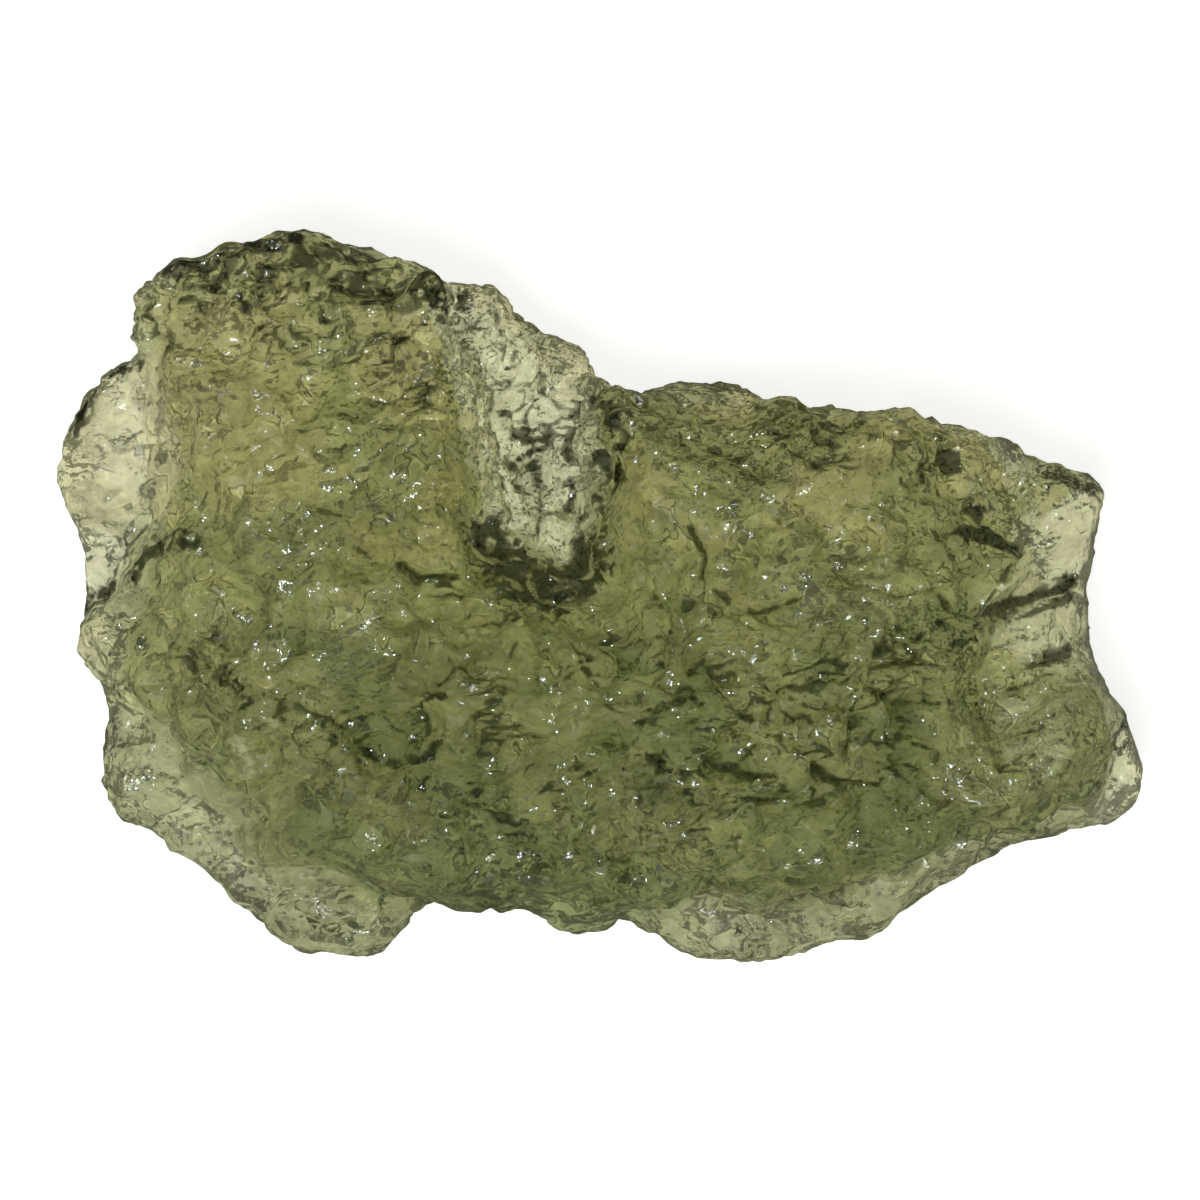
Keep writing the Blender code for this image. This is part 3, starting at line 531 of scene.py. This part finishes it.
def chip_mesh():
    """The chip as one closed fine mesh, in the shape of its solid with its skin carved."""
    chip = bpy.data.objects.new("moldavite_chip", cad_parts["moldavite"].data.copy())
    bpy.context.scene.collection.objects.link(chip)
    put_places(chip.data, read_places(chip.data) / MM)
    modifier = chip.modifiers.new("fine faces", "REMESH")
    modifier.mode = "VOXEL"
    modifier.voxel_size = VOXEL
    modifier = chip.modifiers.new("soften", "SMOOTH")
    modifier.factor = 0.5
    modifier.iterations = 5
    make_real(chip)

    places = read_places(chip.data)
    normals = read_normals(chip.data)
    stray = np.stack([smooth_noise(places / 0.7, seed) for seed in (61, 62, 63)], axis=1)
    strayed = places + stray * 0.16
    relief = pit_relief(strayed, BROAD_PITS)
    busy = busy_share(places, normals)
    for pits in (MIDDLE_PITS, SMALL_PITS, FINE_PITS):
        relief += pit_relief(strayed, pits) * busy * 1.15
    for size, depth, seed in (WIDE_CREASES, NARROW_CREASES):
        relief -= depth * (1 - creases(strayed, size, seed)) ** 2 * (0.4 + 0.6 * busy)
    relief += 0.13
    large, large_painted_light = facet_relief(strayed, LARGE_FACETS)
    small, small_painted_light = facet_relief(strayed, SMALL_FACETS)
    relief += large * (0.55 + 0.45 * busy) + small * busy
    busiest = (busy - QUIET_SHARE) / (1 - QUIET_SHARE)
    groove = grooves(strayed) * busiest
    relief -= GROOVES[2] * groove
    pane = pane_share(places, height_above(chip, places))
    pane *= WALL_PANE + (1 - WALL_PANE) * ease(np.abs(normals[:, 2]) / 0.45)
    notch = patch_share(places[:, :2], CLEAR_PATCHES["notch floor"][0], 0.6)
    right_pane = patch_share(places[:, :2], CLEAR_PATCHES["right pane"][0], 0.5)
    relief *= 1 + NOTCH_BOOST * notch
    tall, tall_painted_light = facet_relief(strayed, NOTCH_FACETS)
    fine, fine_painted_light = facet_relief(strayed, NOTCH_FINE_FACETS)
    relief += (tall + fine) * notch
    waist = 1 - ease(np.abs(normals[:, 2]) / 0.25)
    smooth_side = ease((places[:, 0] * 0.35 - places[:, 1]) / 3.0)
    calm = np.maximum(PANE_CALM * pane * (1 - notch), WAIST_CALM * waist * (0.35 + 0.65 * smooth_side))
    calm = np.maximum(calm, RIGHT_PANE_CALM * right_pane)
    for points in RIM_PATCHES:
        calm = np.maximum(calm, RIM_CALM * patch_share(places[:, :2], points, 0.3) * ease(normals[:, 2] / 0.2))
    calm = np.maximum(calm, UNDERSIDE_CALM * ease(-normals[:, 2] / 0.3) * (1 - pane * (1 - notch)))
    relief *= 1 - calm
    relief += STREAK_DEPTH * wave_noise(streak_places(places), 57) * right_pane
    # Painted light and shade for each facet, and painted shade towards the bottom of the picture
    painted_light_and_shade = (0.5 * large_painted_light + 0.7 * small_painted_light) * (1 - 0.7 * calm)
    painted_light_and_shade += (0.5 * tall_painted_light + 0.6 * fine_painted_light) * notch
    painted_light_and_shade -= SOUTH_SHADE * ease((0.0 - places[:, 1]) / 6.0) * (1 - pane)
    relief += fold_relief(places, normals)
    carved = places + normals * relief[:, None]
    carved[:, 2] = np.maximum(carved[:, 2], 0.0)
    put_places(chip.data, carved)
    # Painted shade on the walls that face up the picture, in the creases and grooves, at the feet of the folds, and
    # in the bands and patches
    painted_shade = wall_painted_shade(strayed, read_normals(chip.data), normals) * (1 - calm) * (busy * 1.8 - 0.8)
    painted_shade = np.maximum(painted_shade, groove ** 1.6 * GROOVE_PAINTED_SHADE * upper_side(places, normals) * (1 - calm))
    painted_shade = np.maximum(painted_shade, drawn_painted_shade(places, normals, small_painted_light))
    patches = wave_noise(places / 2.6, 51) + 0.5 * wave_noise(places / 1.1, 52)
    finder = KDTree(len(carved))
    for index, place in enumerate(carved):
        finder.insert(place, index)
    finder.balance()

    chip.data.calc_loop_triangles()
    count = len(chip.data.loop_triangles)
    if count > MOST_TRIANGLES:
        loose = chip.vertex_groups.new(name="loose")
        weights = loose_weights(places, normals)
        for weight in np.unique(weights):
            loose.add(np.flatnonzero(weights == weight).tolist(), float(weight), "REPLACE")
        modifier = chip.modifiers.new("fewer faces", "DECIMATE")
        modifier.ratio = MOST_TRIANGLES / count
        modifier.vertex_group = "loose"
        modifier.vertex_group_factor = UPPER_CARE
        make_real(chip)
        chip.vertex_groups.clear()
    places = read_places(chip.data)
    places[places[:, 2] < 0.02, 2] = 0.0
    source = np.array([finder.find(place)[1] for place in places])
    put_places(chip.data, places * MM)
    add_share(chip.data, "painted_shade", painted_shade[source])
    warm = WARM_MIDDLE + WARM_PER_MM * np.minimum(places[:, 1], WARM_UP_TO) + patches[source]
    add_share(chip.data, "warm", np.clip(warm, 0.0, 1.0))
    rough = QUIET_ROUGHNESS + (BUSY_ROUGHNESS - QUIET_ROUGHNESS) * (busy - QUIET_SHARE) / (1 - QUIET_SHARE)
    rough += (PANE_ROUGHNESS - rough) * pane
    rough += (CREVICE_ROUGHNESS - rough) * np.maximum(notch, right_pane)
    rough = (rough + 0.08 * patches)[source]
    add_share(chip.data, "satin", np.clip(rough, 0.04, 0.6))
    add_share(chip.data, "pane", pane[source])
    add_share(chip.data, "painted_light_and_shade", np.clip(0.5 + FACET_PAINTED_LIGHT * painted_light_and_shade[source], 0.0, 1.0))
    for face in chip.data.polygons:
        face.use_smooth = True
    chip.data.set_sharp_from_angle(angle=SHARP_EDGE)
    chip.data.name = "moldavite_chip"
    return chip


def add_share(mesh, name, values):
    attribute = mesh.attributes.new(name, "FLOAT", "POINT")
    attribute.data.foreach_set("value", values.astype(np.float32))


def glass_material():
    material = bpy.data.materials.new("moldavite glass")
    material.use_nodes = True
    nodes = material.node_tree.nodes
    links = material.node_tree.links
    shader = nodes["Principled BSDF"]
    output = nodes["Material Output"]
    shader.inputs["IOR"].default_value = GLASS_IOR
    shader.inputs["Transmission Weight"].default_value = CLEAR_SHARE
    absorption = nodes.new("ShaderNodeVolumeAbsorption")
    absorption.inputs["Color"].default_value = GLASS_ABSORPTION
    absorption.inputs["Density"].default_value = GLASS_DENSITY
    links.new(absorption.outputs["Volume"], output.inputs["Volume"])

    def share(name):
        """One of the shares kept on the mesh."""
        node = nodes.new("ShaderNodeAttribute")
        node.attribute_name = name
        return node.outputs["Fac"]

    def blend(factor, first, second):
        """A mix of two colours, each a plain colour or another mix."""
        node = nodes.new("ShaderNodeMix")
        node.data_type = "RGBA"
        links.new(factor, node.inputs["Factor"])
        for name, colour in (("A", first), ("B", second)):
            if isinstance(colour, tuple):
                node.inputs[name].default_value = colour
            else:
                links.new(colour, node.inputs[name])
        return node.outputs["Result"]

    place = nodes.new("ShaderNodeTexCoord")

    def noise(per_mm, detail, distortion):
        """Soft noise over the chip, between 0 and 1."""
        node = nodes.new("ShaderNodeTexNoise")
        node.inputs["Scale"].default_value = per_mm / MM
        node.inputs["Detail"].default_value = detail
        node.inputs["Distortion"].default_value = distortion
        links.new(place.outputs["Object"], node.inputs["Vector"])
        return node.outputs["Fac"]

    def combine(operation, *values):
        """A sum, product or the like of shares and plain numbers."""
        node = nodes.new("ShaderNodeMath")
        node.operation = operation
        for socket, value in zip(node.inputs, values):
            if isinstance(value, (int, float)):
                socket.default_value = value
            else:
                links.new(value, socket)
        return node.outputs["Value"]

    def spread(value, start, end, low=0.0, high=1.0):
        """The value carried over from one range to another, with soft ends."""
        node = nodes.new("ShaderNodeMapRange")
        node.interpolation_type = "SMOOTHSTEP"
        node.inputs["From Min"].default_value = start
        node.inputs["From Max"].default_value = end
        node.inputs["To Min"].default_value = low
        node.inputs["To Max"].default_value = high
        links.new(value, node.inputs["Value"])
        return node.outputs["Result"]

    def line(value, middle, width):
        """1 along the places where the value passes its middle, 0 beside them."""
        return spread(combine("ABSOLUTE", combine("SUBTRACT", value, middle)), 0.0, width, 1.0, 0.0)

    # Hair-thin creases in scattered spots, drawn as a dark line of painted shade with a painted highlight on one
    # side
    crease = noise(CREASE_PER_MM, 1.5, 0.8)
    spots = spread(noise(SPOTS_PER_MM, 0.0, 0.0), 0.53, 0.64)
    painted_crease_shade = combine("MULTIPLY", line(crease, 0.5, 0.022), spots)
    painted_crease_highlight = combine("MULTIPLY", line(crease, 0.535, 0.02), spots)

    # Frayed crisp edges for the painted shade and the panes
    fray = noise(FRAY_PER_MM, 1.0, 0.0)
    stray = combine("MULTIPLY", combine("SUBTRACT", fray, 0.5), 0.7)
    painted_shade = share("painted_shade")
    crisp_painted_shade = spread(combine("ADD", painted_shade, stray), 0.32, 0.56)
    painted_shade = combine("ADD", combine("MULTIPLY", painted_shade, 0.45), combine("MULTIPLY", crisp_painted_shade, 0.6))
    painted_shade = combine("MINIMUM", combine("MAXIMUM", painted_shade, combine("MULTIPLY", painted_crease_shade, 0.8)), 1.0)

    # Green to olive in the thick body, pale in the thin panes, with painted light and shade for each facet and
    # painted shade in the creases
    body = blend(share("warm"), GREEN_TINT, OLIVE_TINT)
    glass = blend(share("pane"), body, PANE_TINT)
    # Painted light and shade for each facet, frayed, with painted highlights beside the creases
    bright = combine("ADD", spread(share("painted_light_and_shade"), 0.0, 1.0, 0.45, 1.55), combine("MULTIPLY", stray, 0.9))
    bright = combine("ADD", bright, combine("MULTIPLY", painted_crease_highlight, 0.6))
    toned = nodes.new("ShaderNodeVectorMath")
    toned.operation = "SCALE"
    links.new(glass, toned.inputs[0])
    links.new(bright, toned.inputs["Scale"])
    links.new(blend(painted_shade, toned.outputs["Vector"], PAINTED_SHADE_TINT), shader.inputs["Base Color"])
    links.new(share("satin"), shader.inputs["Roughness"])

    # Fine grain on top of the carved skin
    bump = nodes.new("ShaderNodeBump")
    bump.inputs["Strength"].default_value = 1.0
    bump.inputs["Distance"].default_value = 0.02 * MM
    links.new(noise(GRAIN_PER_MM, 1.0, 0.0), bump.inputs["Height"])
    links.new(bump.outputs["Normal"], shader.inputs["Normal"])
    return material


def floor():
    side = 3.0
    mesh = bpy.data.meshes.new("floor")
    mesh.from_pydata([(-side, -side, 0), (side, -side, 0), (side, side, 0), (-side, side, 0)], [], [(0, 1, 2, 3)])
    plane = bpy.data.objects.new("floor", mesh)
    bpy.context.scene.collection.objects.link(plane)
    plane.location.z = -0.00005
    material = bpy.data.materials.new("white board")
    material.use_nodes = True
    shader = material.node_tree.nodes["Principled BSDF"]
    shader.inputs["Base Color"].default_value = (0.62, 0.62, 0.615, 1.0)
    shader.inputs["Roughness"].default_value = 0.8
    shader.inputs["Specular IOR Level"].default_value = 0.2
    shader.inputs["Emission Color"].default_value = (1.0, 1.0, 0.99, 1.0)
    # The board shines brighter into the glass than into the camera, so that a soft shadow can be seen on it
    rays = material.node_tree.nodes.new("ShaderNodeLightPath")
    glow = material.node_tree.nodes.new("ShaderNodeMapRange")
    glow.inputs["To Min"].default_value = FLOOR_GLOW
    glow.inputs["To Max"].default_value = FLOOR_SEEN_GLOW
    material.node_tree.links.new(rays.outputs["Is Camera Ray"], glow.inputs["Value"])
    material.node_tree.links.new(glow.outputs["Result"], shader.inputs["Emission Strength"])
    mesh.materials.append(material)
    plane.visible_glossy = False


def lamp(name, place, width, height, watts, colour, glints_only):
    """A soft lamp that faces the chip. The broad ones light it through, the small ones give its glints."""
    data = bpy.data.lights.new(name, "AREA")
    data.shape = "RECTANGLE"
    data.size = width
    data.size_y = height
    data.energy = watts
    data.color = colour
    box = bpy.data.objects.new(name, data)
    bpy.context.scene.collection.objects.link(box)
    box.location = place
    box.rotation_euler = (-Vector(place)).to_track_quat("-Z", "Y").to_euler()
    box.visible_diffuse = not glints_only
    box.visible_transmission = not glints_only
    box.visible_glossy = glints_only


def light_room():
    """A dim even room. The bright floor lights the glass through, and small lamps give the glints."""
    world = bpy.data.worlds.new("studio")
    world.use_nodes = True
    bpy.context.scene.world = world
    nodes = world.node_tree.nodes
    links = world.node_tree.links
    back = nodes["Background"]
    place = nodes.new("ShaderNodeTexCoord")
    split = nodes.new("ShaderNodeSeparateXYZ")
    ramp = nodes.new("ShaderNodeValToRGB")
    links.new(place.outputs["Generated"], split.inputs["Vector"])
    links.new(split.outputs["Z"], ramp.inputs["Fac"])
    links.new(ramp.outputs["Color"], back.inputs["Color"])
    steps = ramp.color_ramp.elements
    steps[0].position = 0.0
    steps[0].color = (0.065, 0.068, 0.055, 1.0)
    steps[1].position = 1.0
    steps[1].color = (0.10, 0.10, 0.10, 1.0)
    for place_up, grey in ((0.48, 0.06), (0.6, 0.22), (0.8, 0.22)):
        steps.new(place_up).color = (grey, grey, grey, 1.0)
    lamp("key softbox", (-0.2, -0.3, 0.95), 0.5, 0.5, 6.5, (1.0, 0.99, 0.96), False)
    lamp("left glint lamp", (-0.45, 0.35, 0.8), 0.05, 0.05, 1.4, (0.82, 0.91, 1.0), True)
    lamp("back glint lamp", (0.1, 0.6, 0.8), 0.05, 0.05, 1.3, (0.82, 0.91, 1.0), True)
    lamp("right glint lamp", (0.5, -0.15, 0.85), 0.04, 0.04, 0.8, (0.95, 0.98, 1.0), True)


def look_down():
    data = bpy.data.cameras.new("camera")
    data.sensor_width = SENSOR
    view_width = PICTURE_SIDE / PICTURE_PER_MM * MM
    data.lens = SENSOR * CAMERA_DISTANCE / view_width
    data.clip_start = 0.01
    data.clip_end = 20.0
    camera = bpy.data.objects.new("camera", data)
    bpy.context.scene.collection.objects.link(camera)
    x, y = to_mm(PICTURE_SIDE / 2, PICTURE_SIDE / 2)
    camera.location = (x * MM, y * MM, CAMERA_AIM_HEIGHT + CAMERA_DISTANCE)
    bpy.context.scene.camera = camera


def picture_settings():
    scene = bpy.context.scene
    scene.view_settings.view_transform = "Standard"
    scene.view_settings.look = "None"
    scene.cycles.use_denoising = True
    scene.cycles.use_light_tree = False
    scene.cycles.max_bounces = 7
    scene.cycles.transmission_bounces = 7
    scene.cycles.glossy_bounces = 5
    scene.cycles.diffuse_bounces = 1
    scene.cycles.caustics_refractive = True
    scene.cycles.caustics_reflective = True
    scene.cycles.blur_glossy = 0.6
    scene.cycles.sample_clamp_indirect = 6.0


chip = chip_mesh()
chip.data.materials.clear()
chip.data.materials.append(glass_material())
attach(chip, "root")
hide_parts("moldavite")
floor()
light_room()
look_down()
picture_settings()
